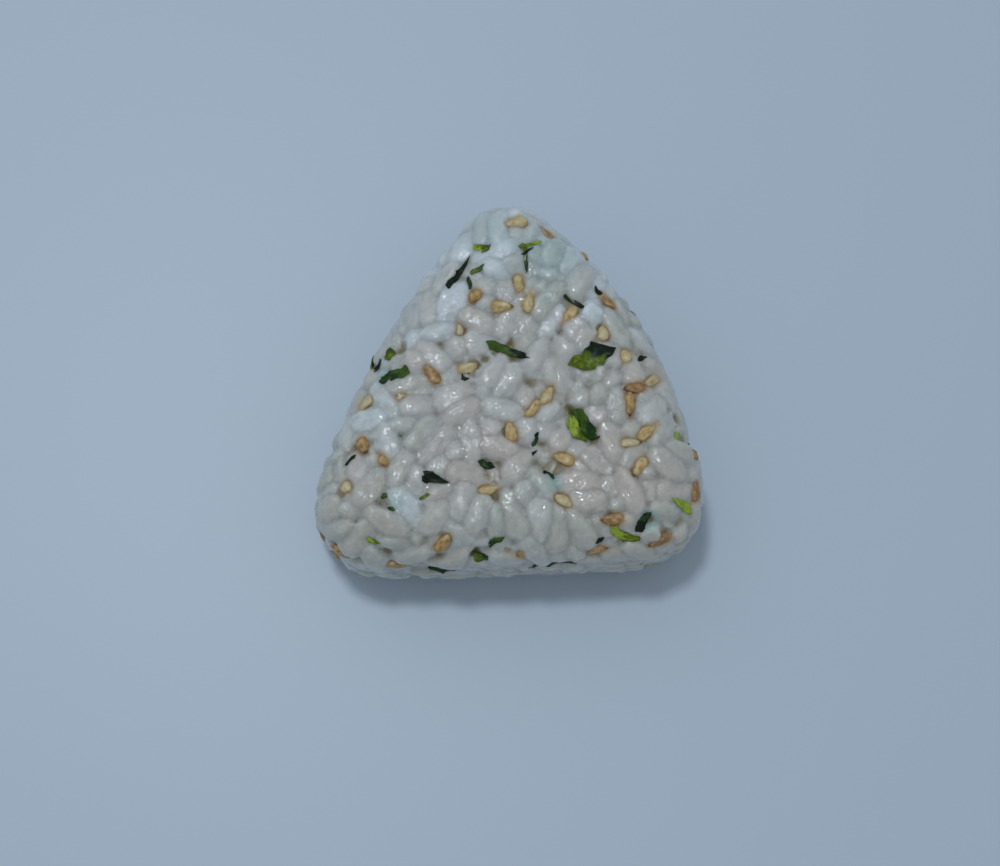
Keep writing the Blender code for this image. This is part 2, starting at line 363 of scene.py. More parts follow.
@dataclass
class Mould:
    """The triangular form that the rice was pressed in, and how far from its wall a point lies.

    Its corners are circles, and one long arc runs from corner to corner along each side.
    """

    width: float
    height: float
    bottom: float
    top: float
    edge_rounding: float = 8.7 * MM
    apex_radius: float = 9.2 * MM
    left_radius: float = 10.4 * MM
    right_radius: float = 11.2 * MM
    apex_shift: float = -0.3 * MM
    right_corner_lift: float = 1.3 * MM
    side_bows: tuple[float, float, float] = (72.0 * MM, 130.0 * MM, 420.0 * MM)
    sight_steps: int = 60
    arcs: list[Arc] = field(init=False)

    def __post_init__(self) -> None:
        """Works out the outline's six arcs."""
        low = -self.height / 2
        right_height = low + self.right_radius + self.right_corner_lift
        right = np.array([self.width / 2 - self.right_radius, right_height])
        apex = np.array([self.apex_shift, self.height / 2 - self.apex_radius])
        left = np.array([self.left_radius - self.width / 2, low + self.left_radius])
        corners = [(right, self.right_radius), (apex, self.apex_radius), (left, self.left_radius)]
        bows = [self.bow_centre(corners[i], corners[(i + 1) % 3], self.side_bows[i]) for i in range(3)]
        self.arcs = []
        for i, (corner, radius) in enumerate(corners):
            after = corners[(i + 1) % 3][0]
            arrives = self.angle(corner - bows[i - 1])
            leaves = self.angle(corner - bows[i])
            ends = self.angle(after - bows[i])
            self.arcs.append(Arc(corner, radius, arrives, (leaves - arrives) % math.tau))
            self.arcs.append(Arc(bows[i], self.side_bows[i], leaves, (ends - leaves) % math.tau))

    @staticmethod
    def angle(direction: Array) -> float:
        """The direction's angle from +X, anticlockwise."""
        return math.atan2(direction[1], direction[0])

    @staticmethod
    def bow_centre(first: tuple[Array, float], second: tuple[Array, float], radius: float) -> Array:
        """Finds the circle that both corner circles touch from inside.

        Args:
            first: A corner's centre and radius.
            second: The next corner's centre and radius.
            radius: The side's radius.

        Returns:
            The centre of the side's circle.
        """
        reach_a, reach_b = radius - first[1], radius - second[1]
        run = second[0] - first[0]
        span = np.linalg.norm(run)
        along = (reach_a**2 - reach_b**2 + span**2) / (2 * span)
        across = math.sqrt(reach_a**2 - along**2)
        outward = np.array([run[1], -run[0]]) / span
        return first[0] + run / span * along - outward * across

    def beyond_outline(self, points: Array) -> tuple[Array, Array]:
        """Measures points against the outline, seen from above.

        Args:
            points: Places, one row each.

        Returns:
            How far outside the outline each lies, and the level direction outwards.
        """
        gap = np.full(len(points), -np.inf)
        outward = np.zeros((len(points), 2))
        for arc in self.arcs:
            offset = points[:, :2] - arc.centre
            reach = np.linalg.norm(offset, axis=1)
            turn = (np.arctan2(offset[:, 1], offset[:, 0]) - arc.start) % math.tau
            here = np.where(turn <= arc.sweep, reach - arc.radius, -np.inf)
            nearer = here > gap
            gap[nearer] = here[nearer]
            outward[nearer] = unit(offset[nearer])
        return gap, outward

    def beyond_wall(self, points: Array) -> tuple[Array, Array]:
        """Measures points against the mould's wall.

        Args:
            points: Places, one row each.

        Returns:
            How far outside the wall each lies, less than zero inside, and the wall's outward normal.
        """
        beyond, outward = self.beyond_outline(points)
        rise = points[:, 2] - (self.top + self.bottom) / 2
        side = beyond + self.edge_rounding
        over = np.abs(rise) - ((self.top - self.bottom) / 2 - self.edge_rounding)
        side_part, over_part = np.maximum(side, 0), np.maximum(over, 0)
        flat = np.maximum(side, over) <= 0
        side_part[flat] = (side > over)[flat]
        over_part[flat] = (side <= over)[flat]
        normal = unit(np.column_stack([outward * side_part[:, None], over_part * np.sign(rise)]))
        inside = np.minimum(np.maximum(side, over), 0)
        reach = np.where(flat, 0.0, np.hypot(side_part, over_part))
        return reach + inside - self.edge_rounding, normal

    def on_wall(self, points: Array) -> tuple[Array, Array]:
        """Moves points straight to the wall.

        Args:
            points: Places, one row each.

        Returns:
            The moved points and the wall's normals there.
        """
        distance, normal = self.beyond_wall(points)
        return points - normal * distance[:, None], normal

    def seen_at(self, right: float, up: float, sight: Array) -> Array:
        """Follows a line of sight to the wall.

        Args:
            right: Where the line crosses the level of the top, to the right of the middle.
            up: The same, towards the apex.
            sight: The direction in which the camera looks.

        Returns:
            The first point of the wall that the line meets, or the one it passes closest.
        """
        point = np.array([[right, up, self.top]]) - sight * 10 * MM
        for _ in range(self.sight_steps):
            gap = self.beyond_wall(point)[0][0]
            point = point + sight * gap
        return self.on_wall(point)[0][0]

    def spot_at(self, place: Array, heading: Array) -> "Spot":
        """A spot on the wall at a place, heading along the wall as near as it can to a direction."""
        normal = self.beyond_wall(place[None])[1][0]
        return Spot(place, normal, unit(heading - normal * (heading @ normal)))

    def spot_seen(self, item: "Seed | Flake", sight: Array) -> "Spot":
        """The spot of a thing that is placed by how it shows from above."""
        turn = math.radians(item.turn)
        heading = np.array([math.cos(turn), math.sin(turn), 0.0])
        return self.spot_at(self.seen_at(item.right * MM, item.up * MM, sight), heading)

    def even_spots(self, count: int, spacing: float, sight: Array, draw: np.random.Generator) -> "list[Spot]":
        """Spreads spots at random over the part of the wall that doesn't show from above.

        Args:
            count: How many.
            spacing: The least distance between two.
            sight: The direction in which the camera looks.
            draw: Where the random numbers come from.

        Returns:
            The spots, with random headings.
        """
        spots: list[Spot] = []
        half = np.array([self.width, self.height, self.top - self.bottom]) / 2
        middle = np.array([0.0, 0.0, (self.top + self.bottom) / 2])
        while len(spots) < count:
            tries = middle + draw.uniform(-1, 1, (200, 3)) * half
            distance, normal = self.beyond_wall(tries)
            hidden = (np.abs(distance) < 1.0 * MM) & (normal @ -sight < 0.0)
            for place in self.on_wall(tries[hidden])[0]:
                if len(spots) < count and all(np.linalg.norm(place - s.place) > spacing for s in spots):
                    spots.append(self.spot_at(place, draw.normal(size=3)))
        return spots


@dataclass
class Spot:
    """Where a seed or a bit of leaf sits on the wall: its place, the wall's normal and its heading."""

    place: Array
    normal: Array
    heading: Array

    @property
    def side(self) -> Array:
        """The direction along the wall to the left of the heading."""
        return np.cross(self.normal, self.heading)


@dataclass
class Rods:
    """Grains or other things as straight rods with round ends, for packing."""

    tail: Array
    head: Array
    radius: Array
    loose: Array

    @property
    def centre(self) -> Array:
        """The rods' middles."""
        return (self.tail + self.head) / 2

    @property
    def axis(self) -> Array:
        """The rods' directions."""
        return unit(self.head - self.tail)

    @classmethod
    def together(cls, groups: "list[Rods]") -> "Rods":
        """Several groups of rods as one."""
        return cls(*[np.concatenate([getattr(rods, part.name) for rods in groups]) for part in fields(cls)])


@dataclass
class GrainPacking:
    """Finds a place for every grain: spread under the wall, then pushed apart and held inside it."""

    mould: Mould
    count: int = 930
    length: float = 7.8 * MM
    width: float = 3.95 * MM
    spread: float = 0.15
    shell: float = 6.0 * MM
    standing: float = 0.25
    pressed: float = 0.74
    rounds: int = 160
    unevenness: float = 0.25 * MM
    shown: float = 0.70
    pairs_every: int = 8
    near_margin: float = 1.1
    push_share: float = 1.3
    hold_share: float = 0.8
    lift_share: float = 0.5
    drawn_out: float = 0.05 * MM
    seed: int = 11
    reach: Array = field(init=False)
    level: Array = field(init=False)

    def pack(self, fixed: Rods) -> Rods:
        """Packs the grains round things that are already in their places.

        Args:
            fixed: The seeds and leaf bits that the grains make way for.

        Returns:
            The grains alone, packed.
        """
        draw = np.random.default_rng(self.seed)
        rods = self.scatter(draw)
        self.reach = np.linalg.norm(rods.head - rods.tail, axis=1) / 2
        self.level = draw.uniform(-self.unevenness, self.unevenness, self.count)
        both = Rods.together([rods, fixed])
        for step in range(self.rounds):
            if step % self.pairs_every == 0:
                pairs = self.near_pairs(both)
            self.push_apart(both, *pairs)
            self.hold_inside(both, 1 - step / self.rounds)
        count = self.count
        return Rods(both.tail[:count], both.head[:count], both.radius[:count], both.loose[:count])

    def scatter(self, draw: np.random.Generator) -> Rods:
        """Spreads grains at random under the wall, most of them lying along it."""
        places = np.empty((0, 3))
        while len(places) < self.count:
            tries = draw.uniform(-1, 1, (4000, 3)) * [self.mould.width / 2, self.mould.height / 2, 0.5]
            tries[:, 2] = draw.uniform(self.mould.bottom, self.mould.top, len(tries))
            depth = -self.mould.beyond_wall(tries)[0]
            places = np.vstack([places, tries[(depth > self.width / 2) & (depth < self.shell)]])
        places = places[: self.count]
        normal = self.mould.beyond_wall(places)[1]
        axis = unit(draw.normal(size=places.shape))
        axis = unit(axis - normal * dot(axis, normal)[:, None] * (1 - self.standing))
        sizes = draw.uniform(1 - self.spread, 1 + self.spread, (2, self.count))
        radius = self.width / 2 * sizes[0]
        reach = (self.length / 2 * sizes[1] - radius)[:, None]
        return Rods(places - axis * reach, places + axis * reach, radius, np.ones(self.count))

    def near_pairs(self, rods: Rods) -> tuple[Array, Array]:
        """The pairs of rods that are close enough to touch soon."""
        centre = rods.centre
        span = np.linalg.norm(centre[:, None] - centre[None], axis=2)
        near = np.triu(span < self.length * (1 + self.spread) * self.near_margin, k=1)
        first, second = np.nonzero(near)
        moves = rods.loose[first] + rods.loose[second] > 0
        return first[moves], second[moves]

    def push_apart(self, rods: Rods, first: Array, second: Array) -> None:
        """Moves and turns rods away from each other where they overlap."""
        run_a, run_b = rods.head[first] - rods.tail[first], rods.head[second] - rods.tail[second]
        gap = rods.tail[first] - rods.tail[second]
        aa, bb, ab = dot(run_a, run_a) + TINY**2, dot(run_b, run_b) + TINY**2, dot(run_a, run_b)
        ag, bg = dot(run_a, gap), dot(run_b, gap)
        share_a = np.clip((ab * bg - bb * ag) / np.maximum(aa * bb - ab * ab, TINY**2), 0, 1)
        share_b = np.clip((ab * share_a + bg) / bb, 0, 1)
        share_a = np.clip((ab * share_b - ag) / aa, 0, 1)
        between = -gap + run_b * share_b[:, None] - run_a * share_a[:, None]
        distance = np.linalg.norm(between, axis=1)
        overlap = (rods.radius[first] + rods.radius[second]) * self.pressed - distance
        touching = overlap > 0
        first, second = first[touching], second[touching]
        share_a, share_b = share_a[touching, None], share_b[touching, None]
        push = unit(between[touching]) * overlap[touching, None] * 0.5
        loose_a, loose_b = rods.loose[first][:, None], rods.loose[second][:, None]
        push_a, push_b = push * loose_a / (loose_a + loose_b), push * loose_b / (loose_a + loose_b)
        np.add.at(rods.tail, first, -push_a * (1 - share_a) * self.push_share)
        np.add.at(rods.head, first, -push_a * share_a * self.push_share)
        np.add.at(rods.tail, second, push_b * (1 - share_b) * self.push_share)
        np.add.at(rods.head, second, push_b * share_b * self.push_share)

    def hold_inside(self, rods: Rods, ease: float) -> None:
        """Keeps both ends of each grain behind the wall, draws grains out to it and mends their lengths."""
        count = self.count
        room = rods.radius[:count] * self.shown - self.level
        for ends in (rods.tail, rods.head):
            distance, normal = self.mould.beyond_wall(ends[:count])
            over = np.clip(distance + room, 0, None) * self.hold_share
            drawn = np.where(distance > -self.shell / 2, self.drawn_out * ease, 0.0)
            sunk = np.clip(-distance - self.shell, 0, None) * self.lift_share
            ends[:count] += normal * (drawn + sunk - over)[:, None]
        centre = (rods.tail[:count] + rods.head[:count]) / 2
        axis = unit(rods.head[:count] - rods.tail[:count]) * self.reach[:, None]
        rods.tail[:count], rods.head[:count] = centre - axis, centre + axis


class Tone(Enum):
    """The colours of toasted sesame, as a place on the seeds' colour ramp."""

    PALE = 0.1
    GOLD = 0.4
    ORANGE = 0.7
    BROWN = 0.95


class Green(Enum):
    """The colours of the chopped leaf, as a place on the leaf's colour ramp."""

    BLACK = 0.0
    DARK = 0.25
    MID = 0.5
    OLIVE = 0.75
    LIME = 1.0


@dataclass(frozen=True)
class Seed:
    """One sesame seed that shows from above: its place and depth in millimetres, its turn in degrees.

    A turn of zero has the seed's dark tip to the right.
    """

    right: float
    up: float
    turn: float
    tone: Tone
    depth: float = 0.45
    length: float = 4.2
    width: float = 1.9


@dataclass(frozen=True)
class Flake:
    """One bit of leaf: its place and size in millimetres, and its turn and bend in degrees.

    It runs from its start to its end. Each end has a share of the full width and its own green, and
    the start may be tucked in under the grains.
    """

    right: float
    up: float
    length: float
    width: float
    turn: float
    start: Green
    end: Green
    bend: float = 0.0
    start_width: float = 1.0
    end_width: float = 1.0
    crinkle: float = 0.15
    tuck_start: float = 0.0
    sunk: float = 0.3


TOP_SEEDS = (
    Seed(1.0, 26.5, 192, Tone.PALE),
    Seed(6.5, 25.0, 140, Tone.ORANGE, depth=0.8),
    Seed(-1.5, 11.5, 0, Tone.GOLD, depth=0.3),
    Seed(1.5, 15.0, -80, Tone.GOLD, depth=0.8, width=1.7),
    Seed(3.0, 12.5, 80, Tone.PALE, depth=0.5),
    Seed(9.5, 10.0, 230, Tone.GOLD, depth=0.35),
    Seed(-6.5, 13.0, 220, Tone.ORANGE, depth=0.6),
    Seed(-13.0, 0.0, 135, Tone.ORANGE, depth=0.35),
    Seed(-7.0, 1.0, 20, Tone.PALE, depth=0.5),
    Seed(-24.5, -5.0, 225, Tone.PALE, depth=0.5),
    Seed(6.0, -3.5, 60, Tone.PALE, depth=0.35, length=4.2),
    Seed(3.5, -6.0, 225, Tone.GOLD, depth=0.5),
    Seed(0.0, -9.5, 100, Tone.GOLD, depth=0.4, width=1.8),
    Seed(20.5, -2.0, 195, Tone.BROWN, depth=0.4),
    Seed(19.5, -5.0, -90, Tone.ORANGE, depth=0.4, width=1.6),
    Seed(23.5, -1.0, 205, Tone.PALE, depth=0.5, width=1.7),
    Seed(22.5, -9.5, 35, Tone.GOLD, depth=0.35, length=4.3),
    Seed(19.5, -11.5, 5, Tone.PALE, depth=0.6, width=1.6),
    Seed(21.0, -15.5, 235, Tone.GOLD, depth=0.5),
    Seed(8.5, -14.0, 160, Tone.GOLD, depth=0.45),
    Seed(8.5, -21.0, 150, Tone.PALE, depth=0.6, width=1.8),
    Seed(16.5, -24.5, 180, Tone.BROWN, depth=0.3),
    Seed(-11.0, -28.5, 60, Tone.ORANGE, depth=0.35, length=4.2),
    Seed(-24.5, -12.0, -60, Tone.ORANGE, depth=0.5, length=3.2),
    Seed(-20.5, -14.5, -40, Tone.ORANGE, depth=0.6, length=3.2),
    Seed(-28.5, -30.5, 140, Tone.ORANGE, depth=0.35, length=4.2),
    Seed(-19.0, -33.0, 100, Tone.ORANGE, depth=0.4),
    Seed(-4.0, -19.5, 15, Tone.PALE, depth=0.8),
    Seed(24.5, -28.5, 215, Tone.BROWN, depth=0.4),
    Seed(31.0, -19.5, 70, Tone.BROWN, depth=0.4),
    Seed(-27.0, -18.5, 60, Tone.PALE, depth=0.9, length=3.0),
    Seed(1.0, -31.0, 170, Tone.ORANGE, depth=0.9),
    Seed(-18.0, -4.0, 30, Tone.PALE, depth=0.95, length=3.2, width=1.7),
    Seed(19.0, 3.5, 110, Tone.PALE, depth=0.8, length=3.2),
    Seed(16.5, 13.0, -50, Tone.BROWN, depth=0.5),
    Seed(15.5, 7.5, 90, Tone.PALE, depth=0.95, length=3.2),
    Seed(14.0, -30.0, 10, Tone.ORANGE, depth=0.5),
    Seed(-32.0, -27.0, 100, Tone.BROWN, depth=0.5),
    Seed(-8.5, 8.0, 90, Tone.PALE, depth=1.1, length=3.0, width=1.5),
)

TOP_FLAKES = (
    Flake(-9.0, 17.5, 6.5, 1.6, 60, Green.BLACK, Green.BLACK, bend=8, end_width=0.25),
    Flake(-6.0, 22.0, 3.7, 1.4, 0, Green.LIME, Green.OLIVE, sunk=0.7, tuck_start=0.6),
    Flake(-4.2, 21.6, 1.6, 1.0, 60, Green.OLIVE, Green.MID),
    Flake(-5.6, 17.8, 2.6, 0.9, 25, Green.OLIVE, Green.MID, sunk=0.5),
    Flake(-7.0, 15.6, 2.4, 0.7, -75, Green.DARK, Green.DARK, bend=-40, sunk=0.4),
    Flake(3.5, 22.5, 4.5, 0.9, 25, Green.OLIVE, Green.LIME, bend=10, end_width=0.5, sunk=0.5),
    Flake(2.5, 20.0, 4.9, 0.9, -85, Green.OLIVE, Green.DARK, end_width=0.5, sunk=0.5),
    Flake(2.9, 21.2, 2.4, 0.6, 40, Green.BLACK, Green.DARK, end_width=0.4),
    Flake(10.5, 12.5, 4.2, 0.8, -31, Green.DARK, Green.BLACK, sunk=0.7),
    Flake(15.0, 14.5, 1.8, 1.1, -40, Green.BLACK, Green.BLACK),
    Flake(-0.5, 4.0, 6.9, 1.8, -17, Green.MID, Green.BLACK, bend=-12, end_width=0.55),
    Flake(13.5, 3.0, 6.4, 3.9, 36, Green.OLIVE, Green.BLACK, start_width=0.9, crinkle=0.2, sunk=0.0),
    Flake(22.0, 3.0, 2.2, 1.2, 40, Green.BLACK, Green.BLACK, start_width=0.3),
    Flake(-20.5, 3.5, 2.2, 1.8, 80, Green.OLIVE, Green.MID),
    Flake(-19.5, 0.0, 5.7, 2.0, 10, Green.DARK, Green.MID, bend=35),
    Flake(-22.6, 1.6, 2.6, 0.8, 75, Green.BLACK, Green.DARK, bend=30, sunk=0.5),
    Flake(-7.5, -0.5, 1.5, 1.3, 30, Green.BLACK, Green.BLACK, sunk=0.7),
    Flake(12.0, -8.3, 6.2, 2.2, -55, Green.MID, Green.DARK, crinkle=0.45),
    Flake(10.6, -9.2, 4.4, 1.8, -60, Green.LIME, Green.OLIVE, crinkle=0.3, sunk=0.1),
    Flake(-12.5, -17.5, 4.0, 2.3, -10, Green.BLACK, Green.BLACK, end_width=0.3),
    Flake(-4.0, -15.0, 2.6, 1.2, -20, Green.DARK, Green.BLACK, bend=60),
    Flake(-26.5, -14.5, 2.2, 0.7, 40, Green.BLACK, Green.BLACK, bend=-50),
    Flake(-22.5, -28.5, 2.2, 1.2, -30, Green.LIME, Green.OLIVE, end_width=0.5),
    Flake(-5.0, -31.5, 2.5, 2.2, 60, Green.OLIVE, Green.DARK),
    Flake(-2.5, -28.5, 3.0, 1.0, 40, Green.DARK, Green.MID, bend=-60),
    Flake(-11.5, -34.0, 4.3, 1.3, 12, Green.DARK, Green.BLACK),
    Flake(7.0, -33.0, 7.5, 1.0, 0, Green.DARK, Green.MID),
    Flake(18.6, -27.3, 5.8, 1.5, -35, Green.LIME, Green.OLIVE, bend=95, sunk=0.1),
    Flake(21.5, -25.0, 4.0, 1.5, 70, Green.BLACK, Green.DARK),
    Flake(14.5, -28.0, 1.2, 0.9, 0, Green.BLACK, Green.BLACK),
    Flake(28.5, -22.0, 4.2, 2.1, -20, Green.LIME, Green.LIME, start_width=0.45, crinkle=0.25),
    Flake(28.0, -10.0, 2.8, 1.7, 70, Green.LIME, Green.LIME, sunk=0.9),
    Flake(4.0, -11.0, 2.5, 0.7, 70, Green.DARK, Green.BLACK, sunk=0.6),
    Flake(3.8, -13.2, 1.1, 0.6, 40, Green.BLACK, Green.BLACK, end_width=0.4, sunk=0.5),
    Flake(6.2, -16.8, 2.2, 0.8, -35, Green.BLACK, Green.DARK, sunk=0.8),
    Flake(-20.6, -20.4, 1.1, 0.8, 20, Green.MID, Green.MID, sunk=0.5),
    Flake(-19.4, -22.6, 1.0, 0.7, 0, Green.DARK, Green.MID, sunk=0.5),
    Flake(-14.0, -20.5, 1.9, 0.6, 30, Green.OLIVE, Green.OLIVE, sunk=0.6),
)

# Where leaf lies under the grains and shows through: right, up, how far it shows and how strongly
VEILS = (
    (7.0, -18.0, 2.4, 0.8),
    (-18.6, -21.5, 2.2, 0.6),
    (-21.0, 0.6, 1.8, 1.0),
    (22.5, -24.5, 2.6, 1.0),
    (6.0, 12.8, 1.8, 0.4),
    (5.5, 20.5, 9.0, 0.55),
    (-4.0, 25.0, 6.0, 0.4),
)


@dataclass(frozen=True)
class CookedRice:
    """Steamed short-grain rice, pressed by hand: soft, moist and half see-through.

    Light goes a few millimetres in and comes out again, which fills the creases. Some grains are
    glassy grey and some chalky, in streaks along the grain. The apex is made chalkier as painted light,
    and the base and the right side glassier as painted shade. Where the skin lies deep, in pits and
    creases, it is painted a darker beige as painted shade.
    Leaf and seeds under a grain show through it as a soft tint. The moist skin is finely wrinkled, so
    that a lamp shows in it as small broken glints.
    """

    glassy: str = "#a9ada4"
    chalky: str = "#c7d0d4"
    warm: str = "#b9b2ab"
    # Painted shade: a darker beige laid where the skin lies deep, in pits and creases
    pit_shade: str = "#8d7e52"
    leaf_below: str = "#9db4b0"
    seed_below: str = "#b4905a"
    roughness: float = 0.45
    ior: float = 1.4
    light_depth: float = 3.3 * MM
    coat: float = 1.0
    coat_roughness: float = 0.05
    streak: float = 1.2 * MM
    streak_length: float = 1.8
    streak_contrast: float = 1.5
    wrinkle: float = 0.34 * MM
    wrinkle_depth: float = 0.12 * MM

    def make(self) -> bpy.types.Material:
        """Makes the finish."""
        inputs = {
            "Roughness": self.roughness,
            "IOR": self.ior,
            "Subsurface Weight": 1.0,
            "Subsurface Radius": (1.0, 0.9, 0.75),
            "Subsurface Scale": self.light_depth,
            "Coat Weight": self.coat,
            "Coat Roughness": self.coat_roughness,
        }
        material, shader = new_finish("steamed short-grain rice", inputs)
        names = ("chalk_and_painted_light", "warmth", "sunk", "veil", "stain", "along", "across", "upright")
        read = read_values(material, names)
        in_grain = add_node(
            material,
            "ShaderNodeCombineXYZ",
            links={"X": read["along"], "Y": read["across"], "Z": read["upright"]},
        )
        stretched = add_node(
            material,
            "ShaderNodeVectorMath",
            {"operation": "MULTIPLY", 1: (1 / self.streak_length, 1.0, 1.0)},
            {0: in_grain.outputs[0]},
        )
        streaks = add_node(
            material,
            "ShaderNodeTexNoise",
            {"Scale": MM / self.streak, "Detail": 2.5, "Roughness": 0.6},
            {"Vector": stretched.outputs[0]},
        )
        # Glassy to chalky by the grain's whiteness, which carries painted light at the apex and painted shade
        # at the base and the right side
        body = add_node(
            material,
            "ShaderNodeMix",
            {"data_type": "RGBA", 6: linear(self.glassy), 7: linear(self.chalky)},
            {0: varied(material, read["chalk_and_painted_light"], streaks, self.streak_contrast, clamp=True)},
        )
        layers = [
            (read["warmth"], self.warm),
            (read["veil"], self.leaf_below),
            # Painted shade in pits and creases: the deeper the point, the more of the darker beige
            (read["sunk"], self.pit_shade),
            (read["stain"], self.seed_below),
        ]
        colour = layered(material, body.outputs[2], layers)
        material.node_tree.links.new(colour, shader.inputs["Base Color"])
        fine = add_node(
            material,
            "ShaderNodeTexNoise",
            {"Scale": MM / self.wrinkle, "Detail": 1.0, "Roughness": 0.5},
            {"Vector": stretched.outputs[0]},
        )
        dent(material, shader, fine, self.wrinkle_depth, ("Normal", "Coat Normal"))
        return material


@dataclass(frozen=True)
class ToastedSesame:
    """Hulled sesame, dry toasted: pale gold to brown, darkest at its tip, with a satin skin."""

    stops: tuple[tuple[float, str], ...] = (
        (0.0, "#c2b793"),
        (0.4, "#b8a26a"),
        (0.7, "#ae8856"),
        (1.0, "#8a6840"),
    )
    tip: str = "#3f2c1b"
    rim: str = "#a78f68"
    roughness: float = 0.38
    light_depth: float = 0.7 * MM
    mottle: float = 0.8 * MM
    mottle_contrast: float = 1.9
    pit: float = 0.35 * MM
    pit_depth: float = 0.04 * MM

    def make(self) -> bpy.types.Material:
        """Makes the finish."""
        inputs = {
            "Roughness": self.roughness,
            "Subsurface Weight": 0.6,
            "Subsurface Radius": (1.0, 0.7, 0.4),
            "Subsurface Scale": self.light_depth,
        }
        material, shader = new_finish("toasted sesame hull", inputs)
        read = read_values(material, ("tone", "tip", "rim"))
        place = add_node(material, "ShaderNodeTexCoord").outputs["Object"]
        mottle, pits = [
            add_node(material, "ShaderNodeTexNoise", {"Scale": 1 / size, "Detail": detail}, {"Vector": place})
            for size, detail in ((self.mottle, 3.0), (self.pit, 2.0))
        ]
        tone = varied(material, read["tone"], mottle, self.mottle_contrast)
        hull = add_node(material, "ShaderNodeValToRGB", None, {"Fac": tone}, list(self.stops))
        layers = [(read["rim"], self.rim), (read["tip"], self.tip)]
        colour = layered(material, hull.outputs["Color"], layers)
        material.node_tree.links.new(colour, shader.inputs["Base Color"])
        dent(material, shader, pits, self.pit_depth)
        return material


@dataclass(frozen=True)
class BlanchedLeaf:
    """Salted greens, blanched and chopped: wet leaf from black-green to olive, lime at the stalk."""

    stops: tuple[tuple[float, str], ...] = (
        (0.0, "#0a1709"),
        (0.25, "#1c3814"),
        (0.5, "#3c561e"),
        (0.75, "#55640c"),
        (1.0, "#94a83c"),
    )
    roughness: float = 0.36
    specular: float = 0.18
    light_depth: float = 0.3 * MM
    vein: float = 0.7 * MM
    vein_contrast: float = 0.8
    vein_depth: float = 0.08 * MM

    def make(self) -> bpy.types.Material:
        """Makes the finish."""
        inputs = {
            "Roughness": self.roughness,
            "Specular IOR Level": self.specular,
            "Subsurface Weight": 0.2,
            "Subsurface Radius": (0.5, 1.0, 0.25),
            "Subsurface Scale": self.light_depth,
        }
        material, shader = new_finish("blanched chopped leaf", inputs)
        read = read_values(material, ("green",))
        place = add_node(material, "ShaderNodeTexCoord").outputs["Object"]
        veins = add_node(
            material,
            "ShaderNodeTexNoise",
            {"Scale": 1 / self.vein, "Detail": 4.0, "Roughness": 0.65},
            {"Vector": place},
        )
        green = varied(material, read["green"], veins, self.vein_contrast)
        leaf = add_node(material, "ShaderNodeValToRGB", None, {"Fac": green}, list(self.stops))
        material.node_tree.links.new(leaf.outputs["Color"], shader.inputs["Base Color"])
        dent(material, shader, veins, self.vein_depth)
        return material


@dataclass(frozen=True)
class GlazedWhite:
    """A plain pale floor with a soft sheen, cool white, so that the rice reads as it does in daylight."""

    colour: str = "#b2c0ce"
    roughness: float = 0.45

    def make(self) -> bpy.types.Material:
        """Makes the finish."""
        inputs = {"Base Color": linear(self.colour), "Roughness": self.roughness}
        return new_finish("pale floor", inputs)[0]


@dataclass
class Studio:
    """The floor, the light and the camera: soft daylight from the upper left, seen almost from above."""

    target: Vector
    azimuth: float = math.radians(-6)
    elevation: float = math.radians(78)
    distance: float = 0.35
    lens: float = 73.9
    aim_right: float = -1.5 * MM
    aim_up: float = -7.1 * MM
    daylight: tuple[float, float, float] = (0.84, 0.92, 1.0)
    # Name, place, side in metres and power in watts
    lamps: tuple[tuple[str, tuple[float, float, float], float, float], ...] = (
        ("window", (-0.35, 0.45, 0.75), 0.55, 0.4),
        ("ceiling lamp", (-0.12, 0.15, 0.9), 0.10, 2.4),
    )
    room_light: float = 0.455
    floor_size: float = 3.0
    back: Vector = field(init=False)

    def __post_init__(self) -> None:
        """Works out where the camera stands."""
        level = math.cos(self.elevation)
        self.back = Vector(
            (math.sin(self.azimuth) * level, -math.cos(self.azimuth) * level, math.sin(self.elevation))
        )

    @property
    def sight(self) -> Array:
        """The direction in which the camera looks."""
        return -np.array(self.back)

    def make_floor(self) -> None:
        """Lays the plain pale floor."""
        mesh = bpy.data.meshes.new("floor")
        model = bmesh.new()
        bmesh.ops.create_grid(model, x_segments=1, y_segments=1, size=self.floor_size / 2)
        model.to_mesh(mesh)
        model.free()
        mesh.materials.append(GlazedWhite().make())
        floor = bpy.data.objects.new("floor", mesh)
        bpy.context.scene.collection.objects.link(floor)

    def add_lamp(self, name: str, place: tuple[float, float, float], size: float, power: float) -> None:
        """Adds a soft square lamp that faces the rice ball.

        Args:
            name: The lamp's name.
            place: Where it hangs.
            size: Its side in metres.
            power: Its power in watts.
        """
        lamp = bpy.data.lights.new(name, "AREA")
        lamp.shape = "SQUARE"
        lamp.size = size
        lamp.energy = power
        lamp.color = self.daylight
        holder = bpy.data.objects.new(name, lamp)
        holder.location = place
        holder.rotation_euler = (Vector(place) - self.target).to_track_quat("Z", "Y").to_euler()
        bpy.context.scene.collection.objects.link(holder)

    def light(self) -> None:
        """Lights the scene: a wide soft window, a small bright lamp for the glints, and a dim room."""
        for lamp in self.lamps:
            self.add_lamp(*lamp)
        world = bpy.data.worlds.new("room")
        world.use_nodes = True
        background = world.node_tree.nodes["Background"]
        background.inputs["Color"].default_value = (*self.daylight, 1.0)
        background.inputs["Strength"].default_value = self.room_light
        bpy.context.scene.world = world
        bpy.context.scene.view_settings.view_transform = "Standard"

    def make_camera(self) -> None:
        """Sets the camera at the photograph's angle, with +Y up in the picture."""
        right = Vector((0, 1, 0)).cross(self.back).normalized()
        upward = self.back.cross(right)
        aim = self.target + right * self.aim_right + upward * self.aim_up
        lens = bpy.data.cameras.new("camera")
        lens.lens = self.lens
        lens.clip_start = 10 * MM
        camera = bpy.data.objects.new("camera", lens)
        camera.matrix_world = Matrix.Translation(aim + self.back * self.distance) @ (
            Matrix((right, upward, self.back)).transposed().to_4x4()
        )
        bpy.context.scene.collection.objects.link(camera)
        bpy.context.scene.camera = camera


